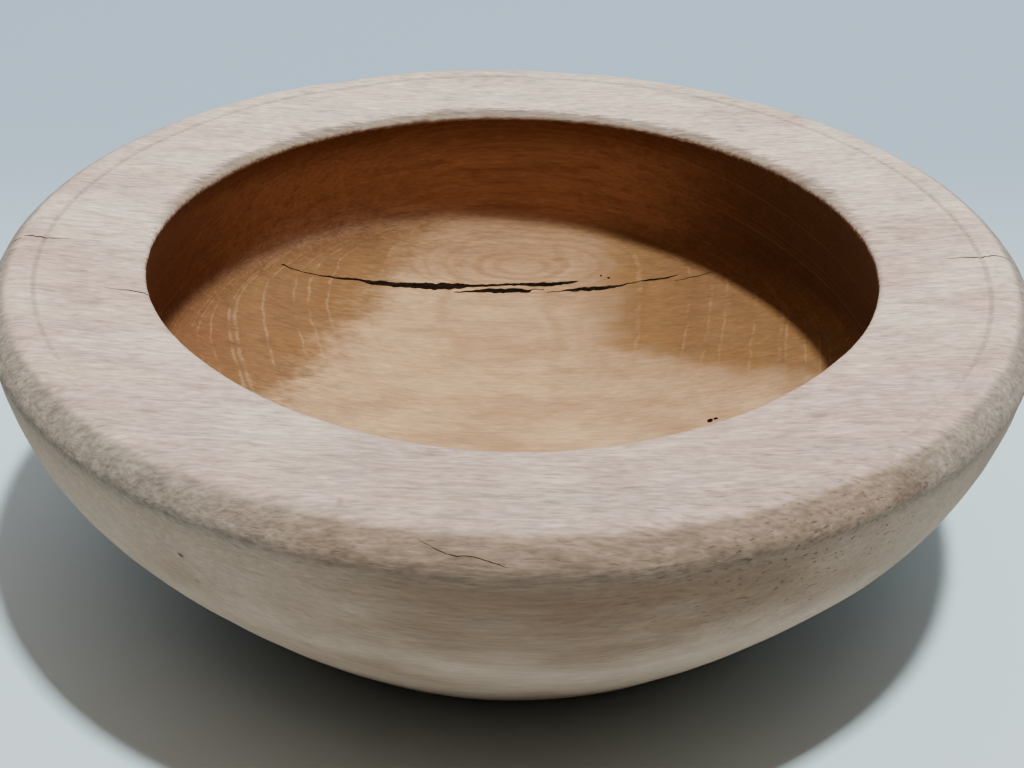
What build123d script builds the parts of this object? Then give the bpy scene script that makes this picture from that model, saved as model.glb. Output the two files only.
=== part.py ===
from build123d import *
import os

os.makedirs("parts", exist_ok=True)

# A heavy wooden bowl, turned from one block of wood. It is a single piece.
# Millimetres. Origin at the centre of the base, +Z up, the grain along X.

# ---------------------------------------------------------------- outside
height = 100.0             # base to the highest line of the rim
outer_radius = 150.0       # the widest line, before it is rounded
widest_height = 90.5
widest_round = 2.0
rim_top_radius = 143.0     # the highest line of the rim, before it is rounded
rim_top_round = 1.5
rim_fall = 3.0             # the rim leans inwards: it is this much lower at the mouth
band_bow = 0.9             # the steep band round the edge of the rim is this much fuller than a cone
crease = (148.6, 87.8)     # a soft crease runs round under the band
crease_round = 5.0
shoulder = (143.6, 70.0)   # the outside turns in quickest round here
flank = (130.4, 47.5)      # below this it runs in nearly straight to the foot
foot_radius = 84.0         # the flat that the bowl rests on
foot_round = 2.0

# ---------------------------------------------------------------- hollow
mouth_radius = 103.6       # the mouth, before its lip is rounded
lip_round = 4.0
wall_middle = (111.5, 75.0)
hollow_radius = 115.0      # the wall is undercut: the hollow is widest at its foot
floor_height = 30.9        # wood under the middle of the floor
floor_rise = 19.8          # how much the dished floor rises from middle to wall
floor_round = 10.0

# ---------------------------------------------------------------- turned ring, crack and checks
ring_radius = 135.2        # a ring scribed into the top of the rim
ring_width = 1.4
ring_depth = 0.45          # below the rim's own surface there

crack_offset = 83.0        # the drying crack lies behind the axis, along the grain
crack_left = -66.0
crack_right = 44.0
crack_width = 2.6
crack_top = 60.0           # clear of the floor there
crack_bottom = 33.0

check_middle = 140.0       # a drying check crosses the rim at each end of the grain
check_length = 26.0
check_width = 0.8
check_depth = 3.0

# ---------------------------------------------------------------- the bowl
widest = (outer_radius, widest_height)
rim_top = (rim_top_radius, height)
rim_slope = rim_fall / (rim_top_radius - mouth_radius)
ring_bottom = height - (rim_top_radius - ring_radius) * rim_slope - ring_depth

with BuildPart() as bowl:
    with BuildSketch(Plane.XZ) as section:
        with BuildLine():
            base = Line((0, 0), (foot_radius, 0))
            upper = ThreePointArc(crease, shoulder, flank)
            lower = TangentArc(flank, base @ 1, tangent=upper % 1)
            turn_in = Line(crease, widest)
            band = SagittaArc(widest, rim_top, -band_bow)
            rim = Line(rim_top, (mouth_radius, height - rim_fall))
            wall = ThreePointArc(rim @ 1, wall_middle, (hollow_radius, floor_height + floor_rise))
            floor = TangentArc((0, floor_height), wall @ 1, tangent=(1, 0))
            middle = Line((0, floor_height), (0, 0))
        make_face()
        for corner, radius in [
            (base @ 1, foot_round),
            (crease, crease_round),
            (widest, widest_round),
            (rim_top, rim_top_round),
            (rim @ 1, lip_round),
            (wall @ 1, floor_round),
        ]:
            fillet(section.vertices().sort_by_distance(corner)[0], radius)
    revolve(axis=Axis.Z)

    # the scribed ring
    with BuildSketch(Plane.XY.offset(ring_bottom)):
        Circle(ring_radius + ring_width / 2)
        Circle(ring_radius - ring_width / 2, mode=Mode.SUBTRACT)
    extrude(amount=height - ring_bottom, mode=Mode.SUBTRACT)

    # the crack in the floor: two shallow arcs that meet at sharp ends
    with BuildSketch(Plane.XY.offset(crack_top)):
        with BuildLine():
            near = SagittaArc((crack_left, crack_offset), (crack_right, crack_offset), crack_width / 2)
            far = SagittaArc((crack_left, crack_offset), (crack_right, crack_offset), -crack_width / 2)
        make_face()
    extrude(amount=crack_bottom - crack_top, mode=Mode.SUBTRACT)

    # the checks across the rim
    with BuildSketch(Plane.XY.offset(height)):
        with Locations((-check_middle, 0), (check_middle, 0)):
            Rectangle(check_length, check_width)
    extrude(amount=-check_depth, mode=Mode.SUBTRACT)

bowl.part.label = "bowl"
export_step(bowl.part, "parts/bowl.step")

print("box", bowl.part.bounding_box())
print("volume in litres of wood", round(bowl.part.volume / 1e6, 3))
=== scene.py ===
import math

import bpy
import numpy as np
from mathutils import Matrix, Vector, noise


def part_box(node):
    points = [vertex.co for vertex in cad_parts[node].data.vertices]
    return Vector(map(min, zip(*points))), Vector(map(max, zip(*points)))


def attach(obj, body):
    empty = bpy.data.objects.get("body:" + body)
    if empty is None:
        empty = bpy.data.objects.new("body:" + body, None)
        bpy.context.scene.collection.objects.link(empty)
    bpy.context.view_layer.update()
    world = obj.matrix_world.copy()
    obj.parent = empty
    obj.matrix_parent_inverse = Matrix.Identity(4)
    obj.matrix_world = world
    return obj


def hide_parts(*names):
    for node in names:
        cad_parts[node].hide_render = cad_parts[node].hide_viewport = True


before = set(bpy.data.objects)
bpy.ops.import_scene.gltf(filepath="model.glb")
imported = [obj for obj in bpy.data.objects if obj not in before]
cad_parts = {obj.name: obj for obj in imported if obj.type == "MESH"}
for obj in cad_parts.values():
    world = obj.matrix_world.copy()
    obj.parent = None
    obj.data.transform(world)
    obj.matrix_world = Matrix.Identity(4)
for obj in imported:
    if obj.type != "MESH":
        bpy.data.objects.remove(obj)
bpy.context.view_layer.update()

MM = 0.001

# ---------------------------------------------------------------- sizes of the bowl, in millimetres
# The grain runs along X, and +Z is up from the middle of the base.
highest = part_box("bowl")[1]
HEIGHT = highest.z / MM
OUTER = highest.x / MM

RIM_EDGE = (OUTER - 7.0, HEIGHT)     # the highest line of the rim
RIM_FALL = 3.0                 # the rim leans inwards: it is this much lower at the mouth
WIDEST = (OUTER, HEIGHT - 9.5)
CREASE = (OUTER - 1.4, HEIGHT - 12.2)
FLANK = (130.4, 47.5)          # below this the outside runs in nearly straight to the foot
FOOT = (84.0, 0.0)
MOUTH = (103.6, HEIGHT - RIM_FALL)
WALL_FOOT = (115.0, 50.7)      # the hollow is widest at the foot of its wall
FLOOR_MIDDLE = (0.0, 30.9)

RING = 135.2                   # the ring scribed into the rim
SECOND_RING = 137.5            # a fainter line outside it

COLUMNS = 380                  # steps round the bowl


# ---------------------------------------------------------------- the turned outline
def straight(a, b, count=200):
    t = np.linspace(0, 1, count)[:, None]
    return np.array(a) * (1 - t) + np.array(b) * t


def bowed(a, b, bulge, count=400):
    """An arc from a to b that bows out by bulge, to the right of the way it goes."""
    a, b = np.array(a, float), np.array(b, float)
    half = np.linalg.norm(b - a) / 2
    along = (b - a) / (2 * half)
    right = np.array([along[1], -along[0]])
    radius = (half ** 2 + bulge ** 2) / (2 * bulge)
    centre = (a + b) / 2 + right * (bulge - radius)
    reach = math.asin(half / radius)
    angle = np.linspace(-reach, reach, count)[:, None]
    return centre + radius * (right * np.cos(angle) + along * np.sin(angle))


def turned_outline():
    """(radius, height) from the middle of the base, over the rim, to the middle of the floor.

    The last number of each bowed stretch is how many millimetres it bows out of the wood.
    """
    parts = [
        straight((0, 0), FOOT),
        bowed(FOOT, FLANK, 1.5),
        bowed(FLANK, CREASE, 2.9),
        straight(CREASE, WIDEST),
        bowed(WIDEST, RIM_EDGE, 0.9),
        straight(RIM_EDGE, MOUTH),
        bowed(MOUTH, WALL_FOOT, -1.6),
        bowed(WALL_FOOT, FLOOR_MIDDLE, -4.4),
    ]
    return np.vstack([part[:-1] for part in parts] + [parts[-1][-1:]])


def distance_along(points):
    return np.concatenate([[0], np.cumsum(np.linalg.norm(np.diff(points, axis=0), axis=1))])


def points_at(places, along, points):
    return np.stack([np.interp(places, along, points[:, k]) for k in (0, 1)], axis=1)


# each corner of the outline, and how far wear has rounded it
WORN_CORNERS = [(FOOT, 1.6), (CREASE, 2.4), (WIDEST, 2.4), (RIM_EDGE, 2.6), (MOUTH, 1.8), (WALL_FOOT, 6.0)]


def worn_outline(step=0.25):
    """The turned outline with its corners rounded, each by its own amount."""
    sharp = turned_outline()
    along = distance_along(sharp)
    points = points_at(np.arange(0, along[-1], step), along, sharp)
    reach = np.full(len(points), 0.2)
    for corner, wear in WORN_CORNERS:
        gap = np.linalg.norm(points - np.array(corner), axis=1)
        reach = np.maximum(reach, wear * np.exp(-(gap / (2.6 * wear)) ** 2))
    place = np.arange(len(points)) * step
    weight = np.exp(-0.5 * ((place[None, :] - place[:, None]) / reach[:, None]) ** 2)
    weight /= weight.sum(axis=1, keepdims=True)
    smooth = weight @ points
    smooth[0], smooth[-1] = points[0], FLOOR_MIDDLE
    return smooth


def row_spacing(radius, height):
    """How far apart the rows of the mesh lie at a point of the outline."""
    if height > HEIGHT - 2 and abs(radius - (RING + SECOND_RING) / 2) < 3.2:
        return 0.45
    if height < 1 and radius < FOOT[0] - 4:
        return 5.0
    gaps = [math.dist((radius, height), corner) / (3 * wear) for corner, wear in WORN_CORNERS]
    return 0.95 + min(1.0, max(0.0, min(gaps) - 0.7))


def mesh_rows():
    outline = worn_outline()
    along = distance_along(outline)
    density = np.array([1 / row_spacing(*point) for point in outline])
    filled = np.concatenate([[0], np.cumsum((density[1:] + density[:-1]) / 2 * np.diff(along))])
    places = np.interp(np.linspace(0, filled[-1], int(filled[-1]) + 1), filled, along)
    return points_at(places, along, outline)


# ---------------------------------------------------------------- what use and years did to the surface
def rough(x, y, z, size, salt=0.0):
    """Soft noise from -1 to 1 with lumps about size millimetres across."""
    return noise.noise(Vector((x / size + salt, y / size - salt, z / size + 2 * salt)))


# shallow dents in the rim and body: x, y, z, radius and depth in millimetres
DENTS = [
    (-115, -84, 99, 6.0, 0.55),
    (-111, -90, 97, 4.0, 0.45),
    (-98, -67, 98, 1.9, 0.35),
    (77, -87, 98, 4.0, 0.45),
    (86, -91, 98.5, 3.0, 0.3),
    (41, -139, 98, 7.0, 0.5),
    (96, -112, 94, 8.0, 0.6),
    (121, 7, 97, 3.0, 0.3),
    (-139, -22, 99, 3.0, 0.35),
    (138, -20, 99, 3.5, 0.4),
    (-60, 128, 99, 7.0, 0.4),
    (20, 141, 97, 5.0, 0.4),
    (-20, -132, 60, 9.0, 0.3),
    (70, 118, 60, 9.0, 0.5),
    (-120, 60, 60, 8.0, 0.5),
]


def sunk(radius, height, angle):
    """How far the surface lies under the turned outline, in millimetres."""
    x, y = radius * math.cos(angle), radius * math.sin(angle)
    # broad unevenness, and narrow ridges along the grain
    depth = 0.24 + 0.24 * rough(x, y, height, 36.0, 3.1)
    depth += 0.11 + 0.11 * rough(x / 6, y, height, 5.0, 5.7)
    # marks of the turning tool in the hollow
    if radius < 116 and height > FLOOR_MIDDLE[1] - 1 and height < MOUTH[1] - 4:
        depth += 0.04 + 0.04 * math.sin((radius * 0.8 - height) * 1.5 + 2 * rough(x, y, height, 30.0, 8.2))
    # the scribed ring, and the fainter line outside it
    if height > HEIGHT - 2 and 128 < radius < RIM_EDGE[0]:
        strength = 0.62 + 0.5 * rough(x, y, 0, 32.0, 1.3)
        depth += 0.45 * max(0.15, strength) * math.exp(-((radius - RING) / 0.6) ** 2)
        second = 0.35 + 0.9 * rough(x, y, 9, 40.0, 4.4)
        depth += 0.28 * max(0.0, second) * math.exp(-((radius - SECOND_RING) / 0.65) ** 2)
    # the groove in the crease is deepest at the left front
    from_crease = (height - CREASE[1]) / 3.0
    if radius > 135 and abs(from_crease) < 3:
        depth += 0.18 * (1 + 0.8 * math.cos(angle - math.radians(215))) * math.exp(-from_crease ** 2)
    for dent_x, dent_y, dent_z, size, deep in DENTS:
        gap = ((x - dent_x) ** 2 + (y - dent_y) ** 2 + (height - dent_z) ** 2) / size ** 2
        if gap < 5:
            depth += deep * math.exp(-gap) * (1 + 0.5 * rough(x, y, height, 2.5, 9.9))
    return depth


def out_of_round(angle):
    """How much wider the mouth is at this angle than a true circle, in millimetres."""
    return 1.2 * math.cos(4 * angle) - 0.8 if math.sin(angle) < 0 else 0.6


def bowl_mesh():
    rows = mesh_rows()
    slope = np.gradient(rows, axis=0)
    slope /= np.linalg.norm(slope, axis=1)[:, None]
    turn = np.arange(COLUMNS) * 2 * math.pi / COLUMNS
    points = [(0, 0, 0)]
    for (radius, height), (slope_r, slope_z) in zip(rows[1:-1], slope[1:-1]):
        for angle in turn:
            deep = sunk(radius, height, angle)
            if height < 0.4 and FOOT[0] - 9 < radius:
                deep = 0.0
            r, z = radius - slope_z * deep, height + slope_r * deep
            near_mouth = math.exp(-(math.dist((radius, height), MOUTH) / 11) ** 2)
            r += out_of_round(angle) * near_mouth
            shrunk = 1 - 0.004 * math.sin(angle) ** 2
            points.append((r * math.cos(angle) * MM, r * math.sin(angle) * shrunk * MM, z * MM))
    points.append((0, 0, (rows[-1][1] - 0.3) * MM))
    faces = []
    last = len(points) - 1
    rings = len(rows) - 2
    for k in range(COLUMNS):
        follow = (k + 1) % COLUMNS
        faces.append((0, 1 + follow, 1 + k))
        faces.append((last, 1 + (rings - 1) * COLUMNS + k, 1 + (rings - 1) * COLUMNS + follow))
    for row in range(rings - 1):
        a, b = 1 + row * COLUMNS, 1 + (row + 1) * COLUMNS
        for k in range(COLUMNS):
            follow = (k + 1) % COLUMNS
            faces.append((a + k, a + follow, b + follow, b + k))
    mesh = bpy.data.meshes.new("bowl_wood")
    mesh.from_pydata(points, [], faces)
    return mesh


# ---------------------------------------------------------------- cracks, checks and worm holes
DOWN = Vector((0, 0, -1))
WAVER = 0.35                   # how far a crack wavers to each side of its line


def floor_height(x, y):
    """Height of the hollow's floor, from the same arc as the outline."""
    rise = WALL_FOOT[1] - FLOOR_MIDDLE[1]
    radius = (WALL_FOOT[0] ** 2 + rise ** 2) / (2 * rise)
    return FLOOR_MIDDLE[1] + radius - math.sqrt(radius ** 2 - x * x - y * y)


def blade(line, into, depth, salt, step=0.8):
    """A thin ragged wedge, for cutting a crack. The line is (point, width) pairs on the surface."""
    spots = [Vector(point) for point, _ in line]
    widths = [width for _, width in line]
    along = np.concatenate([[0], np.cumsum([(b - a).length for a, b in zip(spots, spots[1:])])])
    count = max(3, int(along[-1] / step))
    points, faces = [], []
    for k in range(count + 1):
        place = along[-1] * k / count
        spot = Vector([np.interp(place, along, [s[axis] for s in spots]) for axis in range(3)])
        width = float(np.interp(place, along, widths))
        j = min(len(spots) - 2, int(np.searchsorted(along, place, side="right")) - 1)
        side = (spots[j + 1] - spots[j]).cross(into).normalized()
        spot = spot + side * WAVER * rough(place, 0, salt, 2.6, salt)
        deep = depth * min(1.0, 0.15 + width / max(widths))
        ragged = [(0.16 * width + 0.05) * rough(place, 7 * n, salt, 1.4, salt) for n in (0, 1)]
        for height, share in ((-1.5, 1 + 1.5 / deep), (deep, 0.12)):
            for turn, extra in ((-1, ragged[0]), (1, ragged[1])):
                points.append(spot + into * height + side * turn * (width / 2 * share + extra * share))
    for k in range(count):
        a, b = 4 * k, 4 * k + 4
        for one, two in ((0, 1), (1, 3), (3, 2), (2, 0)):
            faces.append((a + one, b + one, b + two, a + two))
    faces.append((0, 1, 3, 2))
    end = 4 * count
    faces.append((end, end + 2, end + 3, end + 1))
    return points, faces


def peg(x, y, height, radius, depth, sides=14):
    """A slightly uneven round peg, for cutting a worm hole straight down."""
    points, faces = [], []
    for level, share in ((height + 2.0, 1.0), (height - depth, 0.8)):
        for k in range(sides):
            angle = 2 * math.pi * k / sides
            reach = radius * share * (1 + 0.12 * math.sin(2 * angle + x))
            points.append(Vector((x + reach * math.cos(angle), y + reach * math.sin(angle), level)))
    for k in range(sides):
        follow = (k + 1) % sides
        faces.append((k, sides + k, sides + follow, follow))
    faces.append(tuple(range(sides)))
    faces.append(tuple(range(2 * sides - 1, sides - 1, -1)))
    return points, faces


def on_floor(line):
    return [((x, y, floor_height(x, y)), width) for x, y, width in line]


# x, y and width along each branch of the drying crack in the floor
MAIN_BRANCH = [
    (-84, 78.3, 0.12), (-77, 79.8, 0.3), (-66, 80.2, 0.55), (-58, 80.8, 1.2), (-52, 81.6, 1.1),
    (-50, 81.0, 1.6), (-45, 81.2, 2.6), (-38, 81.8, 2.4), (-30, 82.4, 2.9), (-24, 83.0, 3.1),
    (-18, 83.7, 2.6), (-15, 84.4, 1.4), (-6, 85.2, 1.2), (2, 85.7, 1.2), (10, 85.7, 2.0),
    (15, 85.8, 1.8), (21, 86.5, 1.1), (23, 86.8, 0.3),
]
NEAR_BRANCH = [
    (-20, 80.6, 0.3), (-16, 81.1, 0.9), (-11, 81.8, 1.4), (-6, 82.3, 2.3), (3, 82.7, 1.9),
    (5.5, 82.5, 1.5), (7, 83.2, 0.4), (11, 83.4, 0.3),
]
RIGHT_BRANCH = [
    (12, 81.6, 0.3), (16.5, 82.3, 0.4), (21, 82.7, 1.4), (27, 83.0, 2.0), (32, 83.0, 1.6),
    (37, 83.6, 1.0), (40, 84.6, 0.45), (44, 85.2, 0.4), (48, 85.4, 1.0), (53, 85.6, 0.8),
    (57, 86.4, 0.3),
]
RIGHT_TIP = [(56, 83.7, 0.25), (62, 84.4, 0.35), (68, 85.1, 0.25)]


# point and width along each crack in the rim
LEFT_CHECK_OUTSIDE_RING = [((-151, -1.8, 98), 0.5), ((-146, -1.5, 98.6), 0.6), ((-142, -1.1, 99), 0.5)]
LEFT_CHECK = [
    ((-141.5, -0.1, 99.2), 0.4), ((-137, -0.3, 99), 0.75), ((-135.6, -0.8, 98.9), 0.55),
    ((-132, -0.5, 98.8), 0.4), ((-128, -0.3, 98.6), 0.15),
]
RIGHT_CHECK = [
    ((125, -0.4, 98.5), 0.2), ((129, -0.2, 98.7), 0.5), ((135.6, -0.3, 98.9), 0.6),
    ((137, 0.4, 99), 0.5), ((142.4, 0.2, 99.3), 0.6), ((145, -1.4, 98.7), 0.5), ((151, -2.6, 97), 0.4),
]
SPLIT_AT_LIP = [
    ((-99, -30, MOUTH[1]), 0.5), ((-102, -29.2, MOUTH[1]), 0.6), ((-106, -28.4, MOUTH[1] + 0.2), 0.5),
    ((-110, -28.2, MOUTH[1] + 0.5), 0.25), ((-115, -27.6, MOUTH[1] + 0.8), 0.1),
]
HAIRLINE_IN_BAND = [
    ((-20.3, -143.6, 98.4), 0.12), ((-19.2, -144.4, 97.6), 0.24), ((-15.4, -145.8, 96.3), 0.3),
    ((-11.0, -146.9, 95.3), 0.34), ((-7.3, -147.0, 95.6), 0.28), ((-3.5, -147.6, 94.7), 0.3),
    ((-0.4, -148.2, 93.8), 0.2), ((3, -148.4, 93.4), 0.08),
]
INTO_BAND = Vector((0, 0.9, -0.44))

# x, y and radius of each worm hole in the floor
WORM_HOLES = [(62.2, 7.2, 1.05), (64.0, 7.9, 0.75), (30.7, 89.3, 0.45), (33.3, 88.0, 0.5)]
WORM_HOLE_DEPTH = 5.0


def cutters():
    """A blade for each crack, as deep as the crack, and a peg for each worm hole."""
    yield blade(on_floor(MAIN_BRANCH), DOWN, 11.0, 1.0)
    yield blade(on_floor(NEAR_BRANCH), DOWN, 8.0, 2.0)
    yield blade(on_floor(RIGHT_BRANCH), DOWN, 7.0, 3.0)
    yield blade(on_floor(RIGHT_TIP), DOWN, 2.0, 4.0)
    yield blade(LEFT_CHECK_OUTSIDE_RING, DOWN, 3.5, 5.0)
    yield blade(LEFT_CHECK, DOWN, 3.0, 6.0)
    yield blade(RIGHT_CHECK, DOWN, 3.4, 7.0)
    yield blade(SPLIT_AT_LIP, DOWN, 2.5, 8.0)
    yield blade(HAIRLINE_IN_BAND, INTO_BAND, 2.0, 9.0)
    for x, y, radius in WORM_HOLES:
        yield peg(x, y, floor_height(x, y), radius, WORM_HOLE_DEPTH)


def cut_cracks(wood_object):
    """Cuts all the cracks and holes out of the wood. Their walls get the second material."""
    points, faces = [], []
    for more_points, more_faces in cutters():
        first = len(points)
        points += [point * MM for point in more_points]
        faces += [tuple(first + k for k in face) for face in more_faces]
    mesh = bpy.data.meshes.new("cutter")
    mesh.from_pydata(points, [], faces)
    mesh.materials.append(wood_object.data.materials[0])
    mesh.materials.append(wood_object.data.materials[1])
    for polygon in mesh.polygons:
        polygon.material_index = 1
    cutter = bpy.data.objects.new("cutter", mesh)
    bpy.context.scene.collection.objects.link(cutter)
    cut = wood_object.modifiers.new("cracks", "BOOLEAN")
    cut.operation = "DIFFERENCE"
    cut.solver = "EXACT"
    cut.object = cutter
    seen = wood_object.evaluated_get(bpy.context.evaluated_depsgraph_get())
    result = bpy.data.meshes.new_from_object(seen)
    wood_object.modifiers.clear()
    wood_object.data = result
    bpy.data.objects.remove(cutter)


def shade_smoothly(mesh, sharp_from=math.radians(38)):
    mesh.polygons.foreach_set("use_smooth", np.ones(len(mesh.polygons), bool))
    mesh.set_sharp_from_angle(angle=sharp_from)


# ---------------------------------------------------------------- a small kit for writing finishes
class Value:
    """A socket of a finish. Sums on numbers add Math nodes, and sums on vectors add Vector Math nodes."""

    def __init__(self, finish, socket):
        self.finish = finish
        self.socket = socket

    def combined(self, operation, a, b):
        vector = self.socket.type == "VECTOR"
        kind, result = ("ShaderNodeVectorMath", "Vector") if vector else ("ShaderNodeMath", "Value")
        return self.finish.node(kind, {"operation": operation}, {0: a, 1: b})[result]

    def __add__(self, other):
        return self.combined("ADD", self, other)

    def __sub__(self, other):
        return self.combined("SUBTRACT", self, other)

    def __mul__(self, other):
        return self.combined("MULTIPLY", self, other)

    def __truediv__(self, other):
        return self.combined("DIVIDE", self, other)

    def __pow__(self, other):
        return self.combined("POWER", self, other)

    def __radd__(self, other):
        return self.combined("ADD", other, self)

    def __rsub__(self, other):
        return self.combined("SUBTRACT", other, self)

    def __rmul__(self, other):
        return self.combined("MULTIPLY", other, self)

    def more(self, other):
        return self.combined("MAXIMUM", self, other)


class Node:
    """A node of a finish. Its outputs are read by name or identifier."""

    def __init__(self, finish, node):
        self.finish = finish
        self.made = node

    def __getitem__(self, name):
        for socket in self.made.outputs:
            if name in (socket.identifier, socket.name):
                return Value(self.finish, socket)
        raise KeyError(name)


class Finish:
    """A material that is written as sums on places."""

    def __init__(self, name):
        self.material = bpy.data.materials.new(name)
        self.material.use_nodes = True
        self.tree = self.material.node_tree
        self.tree.nodes.clear()

    def node(self, kind, settings=None, inputs=None):
        made = self.tree.nodes.new(kind)
        for name, setting in (settings or {}).items():
            setattr(made, name, setting)
        for name, value in (inputs or {}).items():
            socket = self.find_input(made, name)
            if isinstance(value, Value):
                self.tree.links.new(value.socket, socket)
            elif socket.type == "RGBA":
                socket.default_value = (*value[:3], 1)
            else:
                socket.default_value = value
        return Node(self, made)

    @staticmethod
    def find_input(made, name):
        if isinstance(name, int):
            return made.inputs[name]
        for socket in made.inputs:
            if name in (socket.identifier, socket.name):
                return socket
        raise KeyError(name)

    def place(self):
        """Where a point of the bowl is, in millimetres."""
        return self.node("ShaderNodeTexCoord")["Object"] / (MM, MM, MM)

    def split(self, vector):
        parts = self.node("ShaderNodeSeparateXYZ", {}, {"Vector": vector})
        return parts["X"], parts["Y"], parts["Z"]

    def join(self, x, y, z):
        return self.node("ShaderNodeCombineXYZ", {}, {"X": x, "Y": y, "Z": z})["Vector"]

    def lumps(self, where, size, detail=2.0, salt=0.0):
        """Noise from 0 to 1, with lumps of the given size in millimetres along x, y and z."""
        vector = where / size + (salt, -salt, 2 * salt)
        return self.node("ShaderNodeTexNoise", {"noise_dimensions": "3D"},
                         {"Vector": vector, "Scale": 1.0, "Detail": detail, "Roughness": 0.55})["Fac"]

    def layers(self, depth, size, detail=2.0, salt=0.0):
        """Noise from 0 to 1 that only changes with depth, in layers about size millimetres thick."""
        place = depth / size + salt
        return self.node("ShaderNodeTexNoise", {"noise_dimensions": "1D"},
                         {"W": place, "Scale": 1.0, "Detail": detail, "Roughness": 0.6})["Fac"]

    def fade(self, value, start, end):
        """0 up to start, 1 from end on, and a soft step between. Start may be the larger."""
        flip = start > end
        low, high = (end, start) if flip else (start, end)
        made = self.node("ShaderNodeMapRange", {"interpolation_type": "SMOOTHSTEP"},
                         {"Value": value, "From Min": low, "From Max": high,
                          "To Min": 1.0 if flip else 0.0, "To Max": 0.0 if flip else 1.0})
        return made["Result"]

    def mix(self, share, a, b, blend="MIX"):
        """Colour a where share is 0 and colour b where it is 1."""
        return self.node("ShaderNodeMix", {"data_type": "RGBA", "blend_type": blend},
                         {"Factor_Float": share, "A_Color": a, "B_Color": b})["Result_Color"]

    def dappled(self, colour, pattern, depth):
        """The colour made lighter and darker by a pattern that runs from 0 to 1."""
        return self.mix(1.0, colour, 1.0 + (pattern - 0.5) * (2.0 * depth), "MULTIPLY")

    def spot(self, where, middle, size):
        """1 in the middle of a soft round spot and 0 outside it. Size is its radius along x, y and z."""
        gap = (where - middle) / size
        length = self.node("ShaderNodeVectorMath", {"operation": "LENGTH"}, {0: gap})["Value"]
        return self.fade(length, 1.0, 0.25)

    def dry_surface(self, colour, roughness, relief, strength, depth):
        """Bare wood: a matt surface with a fine relief, which is depth metres deep."""
        bump = self.node("ShaderNodeBump", {}, {"Height": relief, "Strength": strength, "Distance": depth})
        shader = self.node("ShaderNodeBsdfPrincipled", {}, {
            "Base Color": colour, "Roughness": roughness, "Normal": bump["Normal"],
            "IOR": 1.45, "Specular IOR Level": 0.25})
        self.node("ShaderNodeOutputMaterial", {}, {"Surface": shader["BSDF"]})
        return self.material


# ---------------------------------------------------------------- the wood
HEART = (-59.0, 628.0)         # the tree's heart lies far above the bowl, along X: y and z

PALE_BEIGE = (0.612, 0.452, 0.360)
CREAM_BEIGE = (0.644, 0.448, 0.307)
ROSE_BEIGE = (0.483, 0.314, 0.252)
DRY_GREY = (0.380, 0.299, 0.238)
EDGE_GREY = (0.258, 0.196, 0.154)
EDGE_TAN = (0.235, 0.153, 0.107)
BODY_BEIGE = (0.440, 0.305, 0.220)
BODY_BROWN = (0.240, 0.138, 0.086)
PALE_TAN = (0.494, 0.294, 0.153)
ROSE_TAN = (0.391, 0.211, 0.109)
HONEY = (0.172, 0.079, 0.026)
OCHRE = (0.192, 0.092, 0.026)
RUST_BROWN = (0.149, 0.046, 0.016)
AMBER_BROWN = (0.127, 0.048, 0.016)
WALL_BROWN = (0.345, 0.172, 0.100)
# dark brown for streaks in the wall, and for painted shade on the wall
WALL_DARK = (0.127, 0.043, 0.019)
OLD_GREASE = (0.110, 0.068, 0.040)
# dark brown for dirt, pores and old marks, and for painted shade in the hollow and the crease
DARK_GRIME_AND_SHADE = (0.081, 0.049, 0.032)


class Grain:
    """A finish, where a point of the wood is, and the patterns that growth left there."""

    def __init__(self, wood):
        self.wood = wood
        self.place = wood.place()
        self.x, self.y, self.z = wood.split(self.place)
        self.reach = (self.x * self.x + self.y * self.y) ** 0.5
        self.growth_rings()
        self.patterns()

    def growth_rings(self):
        """Layers by depth below the heart, with a little wander."""
        wood, place = self.wood, self.place
        wander = wood.lumps(place, (160, 60, 60), 1.0, 2.3)
        tremble = wood.lumps(place, (3.2, 0.6, 0.6), 0.0, 4.1)
        across, below = self.y - HEART[0], self.z - HEART[1]
        depth = (across * across + below * below) ** 0.5 + wander * 3.0 + tremble * 0.22
        self.broad_rings = wood.layers(depth, 3.4, 1.0, 0.3)
        self.fine_rings = wood.layers(depth, 0.55, 2.0, 7.7)
        from_ring = wood.layers(depth, 2.2, 0.0, 3.3) - 0.5
        self.ring_lines = wood.fade(from_ring * from_ring, 0.0012, 0.0001)

    def patterns(self):
        """Fibres and pores along the grain, and softer unevenness."""
        wood, place = self.wood, self.place
        self.fibres = wood.lumps(place, (14, 1.1, 1.1), 3.0, 1.1)
        self.fuzz = wood.lumps(place, (4.2, 0.9, 0.9), 3.0, 3.9)
        self.streaks = wood.lumps(place, (60, 3.2, 3.2), 2.0, 5.2)
        self.pores = wood.fade(wood.lumps(place, (4.5, 0.75, 0.75), 0.0, 9.3), 0.70, 0.78)
        self.clouds = wood.lumps(place, (60, 34, 34), 2.0, 6.6)
        self.mottle = wood.lumps(place, (12, 6, 6), 3.0, 8.4)
        self.blotches = wood.lumps(place, (26, 14, 14), 2.0, 2.8)
        self.grit = wood.lumps(place, (1.2, 1.2, 1.2), 2.0, 0.7)
        self.flecks = wood.lumps(place, (9.0, 2.8, 2.8), 3.0, 7.1)
        self.bruises = wood.fade(wood.lumps(place, (6.0, 2.2, 2.2), 1.0, 12.1), 0.66, 0.80)


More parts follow.
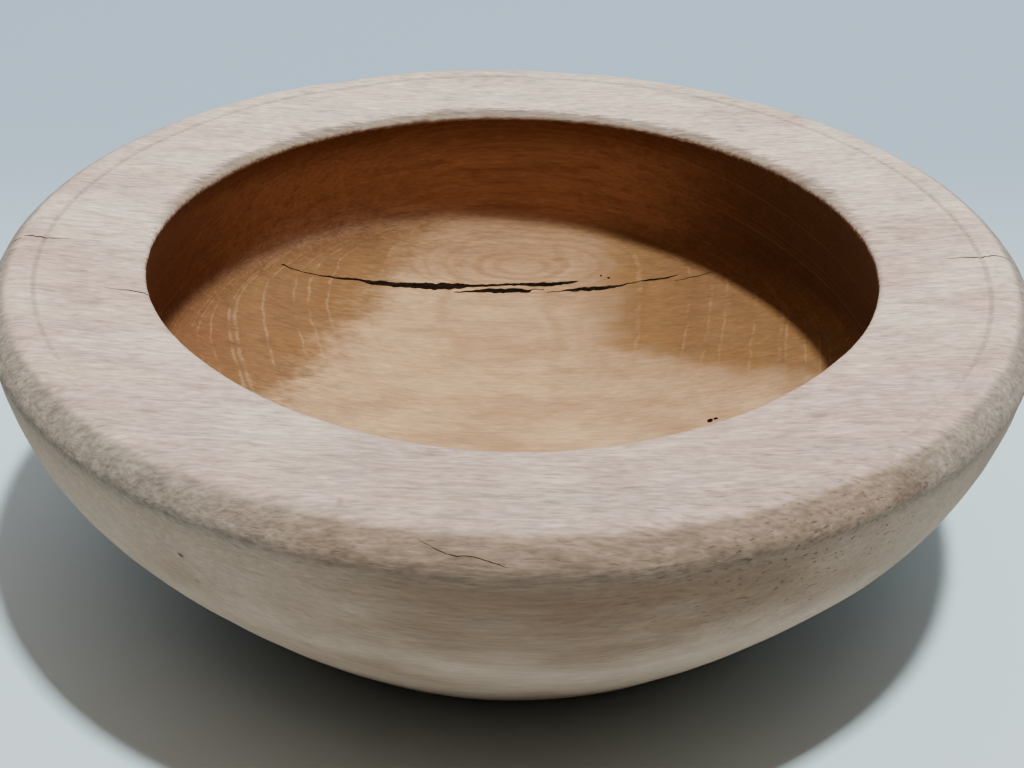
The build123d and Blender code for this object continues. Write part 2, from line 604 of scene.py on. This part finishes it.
def rim_colour(wood, grain):
    """Dry and pale, rosy and creamy in blotches, greyer along some fibres, and greasy at the lip behind."""
    y = grain.y
    rim = wood.mix(wood.fade(grain.clouds - (y - 20) * 0.0012, 0.36, 0.66), PALE_BEIGE, ROSE_BEIGE)
    rim = wood.mix(wood.fade(grain.blotches, 0.45, 0.70) * 0.4, rim, CREAM_BEIGE)
    rim = wood.mix(wood.fade(grain.flecks, 0.50, 0.75) * 0.45, rim, EDGE_GREY)
    rim = wood.mix(grain.bruises * wood.fade(y, 60.0, -20.0) * 0.40, rim, BODY_BROWN)
    rim = wood.mix(wood.fade(grain.streaks, 0.50, 0.72) * 0.40, rim, DRY_GREY)
    rim = wood.mix(wood.fade(y, -70.0, -130.0) * 0.26, rim, EDGE_GREY)
    burr = wood.fade(y, -20.0, 60.0) * 4.0
    ragged = (grain.fuzz - 0.5) * 6.0 + (grain.mottle - 0.5) * 5.0
    grease = wood.fade(grain.reach + ragged - burr, MOUTH[0] + 3.9, MOUTH[0] - 0.1)
    return wood.mix(grease * wood.fade(y, -30.0, 60.0) * 0.72, rim, OLD_GREASE)


def band_colour(wood, grain):
    """The steep band round the rim is darker than the rim: tan in front and grey elsewhere."""
    front = wood.spot(grain.place, (30, -150, 90), (150, 95, 60))
    return wood.mix(wood.fade(front + (grain.clouds - 0.5) * 0.8, 0.02, 0.80), EDGE_GREY, EDGE_TAN)


def body_colour(wood, grain):
    """Greyish beige, with soft brown clouds."""
    # the body is browner towards the front
    browner_at_front = wood.spot(grain.place, (24, -140, 76), (105, 80, 40))
    brown = wood.fade(grain.clouds * 0.7 + grain.blotches * 0.3 + browner_at_front * 0.32, 0.42, 0.96)
    body = wood.mix(brown, BODY_BEIGE, BODY_BROWN)
    body = wood.mix(wood.fade(grain.broad_rings, 0.45, 0.70) * brown * 0.12, body, AMBER_BROWN)
    body = wood.mix(wood.fade(grain.streaks, 0.52, 0.75) * brown * 0.16, body, AMBER_BROWN)
    body = wood.dappled(body, grain.fibres, 0.22)
    body = wood.dappled(body, grain.fuzz, 0.24)
    return wood.dappled(body, grain.mottle, 0.16)


def outside_colour(wood, grain):
    mottle = grain.mottle - 0.5
    band = wood.fade(grain.reach - grain.z + mottle * 3.0, 42.5, 46.0) * wood.fade(grain.z, 80.0, 90.0)
    top = wood.mix(band, rim_colour(wood, grain), band_colour(wood, grain))
    top = wood.dappled(top, grain.fibres, 0.38)
    top = wood.dappled(top, grain.fuzz, 0.66)
    top = wood.dappled(top, grain.flecks, 0.46)
    top = wood.dappled(top, grain.mottle, 0.28)
    under = wood.fade(grain.z + mottle * 6.0, WIDEST[1] + 2, CREASE[1] - 3)
    outside = wood.mix(under, top, body_colour(wood, grain))
    open_grain = wood.spot(grain.place, (75, -128, 84), (85, 50, 34))
    open_grain = open_grain.more(wood.fade(grain.clouds, 0.60, 0.75) * 0.5)
    return wood.mix(grain.pores * open_grain * 0.65, outside, DARK_GRIME_AND_SHADE)


def floor_colour(wood, grain):
    """Rubbed pale across the middle, honey brown at both ends of the grain, with painted shadow at the
    right and back.
    """
    x, y = grain.x, grain.y
    clouds, mottle = grain.clouds - 0.5, grain.mottle - 0.5
    pale = wood.mix(wood.fade(grain.blotches, 0.30, 0.70), PALE_TAN, ROSE_TAN)
    pale = wood.mix(wood.fade(y + clouds * 40.0, 70.0, 100.0) * 0.75, pale, ROSE_TAN)
    pale = wood.mix(wood.fade(grain.fine_rings, 0.48, 0.72) * wood.fade(y, 0.0, 90.0) * 0.22, pale, HONEY)
    warm = wood.mix(wood.fade(grain.blotches, 0.40, 0.62), HONEY, OCHRE)
    warm = wood.mix(wood.fade(grain.broad_rings, 0.40, 0.70) * 0.35, warm, AMBER_BROWN)
    warm = wood.mix(wood.spot(grain.place, (-103, 36, 48), (22, 30, 14)) * 0.7, warm, RUST_BROWN)
    warm = wood.mix(wood.fade(x, -20.0, -70.0) * 0.36, warm, RUST_BROWN)

    # the rubbed middle is widest near the line y = 5
    ragged = mottle * 26.0 + (grain.fuzz - 0.5) * 10.0
    away = ((y - 5) * (y - 5)) ** 0.5 + mottle * 8.0
    left_edge = 76.0 - away * 0.41
    right_edge = 33.0 + wood.fade(away, 56.0, 12.0) * 58.0
    rubbed = wood.fade(x + left_edge + ragged, -10.0, 12.0)
    rubbed = rubbed * wood.fade(x - right_edge + ragged, 11.0, -11.0)
    floor = wood.mix(rubbed * 0.82 + 0.08, warm, pale)
    lines_here = grain.ring_lines * wood.fade(grain.mottle, 0.35, 0.6) * (1.0 - rubbed)
    floor = wood.mix(lines_here * 0.24, floor, PALE_TAN)

    # where the growth rings close round an eye behind the crack
    aside, behind = (x - 3.0) * 0.40, y - 95.0
    from_eye = (aside * aside + behind * behind) ** 0.5 + mottle * 3.0
    eye = wood.fade(wood.layers(from_eye, 2.4, 1.0, 5.1), 0.46, 0.62) * wood.fade(from_eye, 24.0, 14.0)
    floor = wood.mix(eye * 0.30, floor, HONEY)

    # painted shadow: the floor darkens at the right and towards the back wall, where the lip's shadow falls
    shadow_right_and_back = wood.spot(grain.place, (66, 66, 45), (84, 76, 40)).more(wood.fade(y, 76.0, 104.0) * 0.8)
    floor = wood.mix(shadow_right_and_back * 0.42, floor, AMBER_BROWN)
    return wood.mix(wood.fade(grain.streaks, 0.5, 0.75) * 0.14, floor, AMBER_BROWN)


def wall_colour(wood, grain):
    """Brown, with painted shade under the lip and at both sides, deepest on the right."""
    x = grain.x
    # painted shade: the wall darkens towards both sides, where it lies in shade
    at_sides = wood.fade(x * x + x * 30.0, 3000.0, 9000.0) * 0.80
    # painted shade under the overhanging lip, joined with the painted shade at the sides
    shade_under_lip_and_sides = wood.fade(grain.z + (grain.mottle - 0.5) * 10.0, 80.0, 96.0).more(at_sides)
    wall = wood.mix(shade_under_lip_and_sides, WALL_BROWN, WALL_DARK)
    wall = wood.mix(wood.fade(grain.streaks, 0.45, 0.75) * 0.35, wall, WALL_DARK)
    # painted shade: the wall goes darkest on the right, where it lies in shade
    wall = wood.mix(wood.fade(x, 30.0, 95.0) * 0.72, wall, DARK_GRIME_AND_SHADE)
    return wood.mix(grain.ring_lines * 0.10, wall, PALE_TAN)


def inside_colour(wood, grain):
    reach = grain.reach
    on_wall = wood.fade(grain.z - 0.6 * (WALL_FOOT[0] - reach), 49.0, 60.0) * wood.fade(reach, 98.0, 108.0)
    inside = wood.mix(on_wall, floor_colour(wood, grain), wall_colour(wood, grain))
    inside = wood.dappled(inside, grain.fibres, 0.26)
    inside = wood.dappled(inside, grain.fuzz, 0.36)
    return wood.dappled(inside, grain.mottle, 0.24)


def hollow_share(wood, grain):
    """1 inside the hollow: under the lip, and above a surface that passes through the thick of the wood."""
    ragged = (grain.mottle - 0.5) * 2.2 + (grain.fuzz - 0.5) * 3.0
    below_lip = wood.fade(grain.z + ragged, MOUTH[1] - 0.4, MOUTH[1] - 2.4)
    within_wall = wood.fade(grain.reach, WALL_FOOT[0] + 2.5, WALL_FOOT[0] + 1.5)
    between = 14.0 + (grain.reach / WALL_FOOT[0]) ** 2 * 24.0
    return below_lip * within_wall * wood.fade(grain.z - between, -1.0, 1.0)


# small old stains and bruises: middle, radii along x, y and z, and how dark
MARKS = [
    ((-115, -84, 99), (7, 4, 6), 0.50),
    ((-111, -91, 98), (4, 3, 5), 0.45),
    ((77, -87, 98), (6, 2.2, 4), 0.50),
    ((86, -91, 98), (5, 1.8, 4), 0.40),
    ((41, -140, 98), (5, 7, 7), 0.35),
    ((96, -112, 94), (10, 9, 8), 0.35),
    ((-79, 41, 44), (4, 3, 4), 0.60),
    ((-72, 30, 42), (5, 4, 4), 0.40),
    ((-77, -123, 77), (1.4, 1.4, 1.2), 0.9),
    ((63, -135, 88), (2.6, 1, 0.9), 0.8),
    ((-74, -121, 67.5), (1.2, 1.5, 2.4), 0.5),
    ((112, 22, 98), (6, 1.6, 4), 0.45),
    ((116, 14, 98), (4, 1.4, 4), 0.45),
    ((109, -26, 98), (5, 1.5, 4), 0.40),
    ((-38, -133, 99), (1.2, 5, 4), 0.35),
    ((-52, -131, 99), (7, 1.2, 4), 0.40),
]


def dirt_and_shade_share(wood, grain):
    """Dirt in the scribed ring and in old marks, and painted shade in the crease under the rim."""
    scribed = wood.spot(wood.join(grain.reach, grain.z, 0.0), (RING, HEIGHT - 1, 0), (1.1, 4, 1))
    in_ring = scribed * wood.fade(grain.y + (grain.clouds - 0.5) * 80.0, -95.0, -45.0) * 0.30
    # painted shade: a dark line along the crease under the rim, where shade falls
    above_crease = grain.z - CREASE[1]
    shade_in_crease = wood.fade(above_crease * above_crease, 16.0, 1.0)
    shade_in_crease = shade_in_crease * wood.fade(grain.reach, 140.0, 146.0) * 0.08
    dirt_and_shade = in_ring.more(shade_in_crease)
    for middle, size, amount in MARKS:
        mark = wood.spot(grain.place, middle, size) * wood.fade(grain.mottle, 0.30, 0.55) * amount
        dirt_and_shade = dirt_and_shade.more(mark)
    return dirt_and_shade


def bowl_wood():
    wood = Finish("weathered_wood")
    grain = Grain(wood)
    colour = wood.mix(hollow_share(wood, grain), outside_colour(wood, grain), inside_colour(wood, grain))
    # dirt and old marks, with painted shade in the crease
    colour = wood.mix(dirt_and_shade_share(wood, grain), colour, DARK_GRIME_AND_SHADE)
    relief = grain.fibres * 0.9 + grain.pores * -0.9 + grain.grit * 0.35 + grain.fuzz * 0.5
    return wood.dry_surface(colour, 0.72 + grain.mottle * 0.2, relief, 0.4, 0.0004)


def crack_wood():
    """The walls of the cracks and worm holes: dark old wood, painted near black for the shade deep inside
    them.
    """
    wood = Finish("crack_walls")
    place = wood.place()
    fibres = wood.lumps(place, (9, 0.6, 0.6), 2.0, 1.9)
    # near black: dark old wood, with painted shade for the depth of the cracks
    colour = wood.mix(wood.fade(fibres, 0.40, 0.75), (0.016, 0.008, 0.004), (0.050, 0.024, 0.011))
    return wood.dry_surface(colour, 0.9, fibres, 0.5, 0.0004)


# ---------------------------------------------------------------- camera, light and table
LENS = 63.3                    # millimetres, on a frame 36 mm wide
CAMERA = Vector((0.0, -0.4681, 0.3310))
TILT_DOWN = 0.5362
LEAN = 0.0221
SWING = 0.0011


def place_camera():
    flat = math.cos(TILT_DOWN)
    ahead = Vector((math.sin(SWING) * flat, math.cos(SWING) * flat, -math.sin(TILT_DOWN)))
    level = Vector((math.cos(SWING), -math.sin(SWING), 0))
    above = level.cross(ahead)
    right = math.cos(LEAN) * level + math.sin(LEAN) * above
    up = -math.sin(LEAN) * level + math.cos(LEAN) * above
    data = bpy.data.cameras.new("camera")
    data.lens = LENS
    data.sensor_width = 36
    data.clip_start = 0.01
    camera = bpy.data.objects.new("camera", data)
    camera.matrix_world = Matrix((
        (right.x, up.x, -ahead.x, CAMERA.x),
        (right.y, up.y, -ahead.y, CAMERA.y),
        (right.z, up.z, -ahead.z, CAMERA.z),
        (0, 0, 0, 1),
    ))
    bpy.context.scene.collection.objects.link(camera)
    bpy.context.scene.camera = camera


def lamp(name, towards, distance, size, power, colour=(1, 1, 1)):
    """A square soft lamp that shines on the bowl from the direction towards."""
    data = bpy.data.lights.new(name, "AREA")
    data.size = size
    data.energy = power
    data.color = colour
    light = bpy.data.objects.new(name, data)
    aim = Vector(towards).normalized()
    light.location = Vector((0, 0, 0.06)) + aim * distance
    light.rotation_euler = aim.to_track_quat("Z", "Y").to_euler()
    bpy.context.scene.collection.objects.link(light)


def room_light(colour, strength):
    world = bpy.data.worlds.new("room")
    world.use_nodes = True
    background = world.node_tree.nodes["Background"]
    background.inputs["Color"].default_value = (*colour, 1)
    background.inputs["Strength"].default_value = strength
    bpy.context.scene.world = world


def table():
    """A level sheet that curves up behind the bowl, with painted shade towards the back."""
    front, start, radius, top, width = -12.0, 0.55, 0.5, 2.4, 12.0
    profile = [(front, 0.0), (start, 0.0)]
    for k in range(1, 25):
        angle = math.pi / 2 * k / 24
        profile.append((start + radius * math.sin(angle), radius * (1 - math.cos(angle))))
    profile.append((start + radius, top))
    points = [(side * width, y, z) for y, z in profile for side in (-1, 1)]
    faces = [(2 * k, 2 * k + 1, 2 * k + 3, 2 * k + 2) for k in range(len(profile) - 1)]
    mesh = bpy.data.meshes.new("table")
    mesh.from_pydata(points, [], faces)
    mesh.polygons.foreach_set("use_smooth", np.ones(len(faces), bool))
    sheet = bpy.data.objects.new("table", mesh)
    bpy.context.scene.collection.objects.link(sheet)
    paint = Finish("table_white")
    # painted shade: the sheet turns darker and bluer towards the back, where the light falls off
    shade_towards_back = paint.fade(paint.split(paint.place())[1], 40.0, 330.0)
    colour = paint.mix(shade_towards_back, (0.53, 0.61, 0.63), (0.30, 0.37, 0.46))
    shader = paint.node("ShaderNodeBsdfPrincipled", {}, {"Base Color": colour, "Roughness": 0.6})
    paint.node("ShaderNodeOutputMaterial", {}, {"Surface": shader["BSDF"]})
    mesh.materials.append(paint.material)


# ---------------------------------------------------------------- put together
bowl = bpy.data.objects.new("wooden_bowl", bowl_mesh())
bpy.context.scene.collection.objects.link(bowl)
bowl.data.materials.append(bowl_wood())
bowl.data.materials.append(crack_wood())
cut_cracks(bowl)
shade_smoothly(bowl.data)
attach(bowl, "root")
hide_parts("bowl")

place_camera()
table()
room_light((1.0, 0.88, 0.74), 0.04)
lamp("soft_overhead", (-0.06, -0.08, 1.0), 3.0, 3.0, 38, (1.0, 0.77, 0.62))
lamp("main_lamp", (0.125, -0.168, 1.0), 4.0, 0.26, 295, (0.86, 0.98, 1.0))
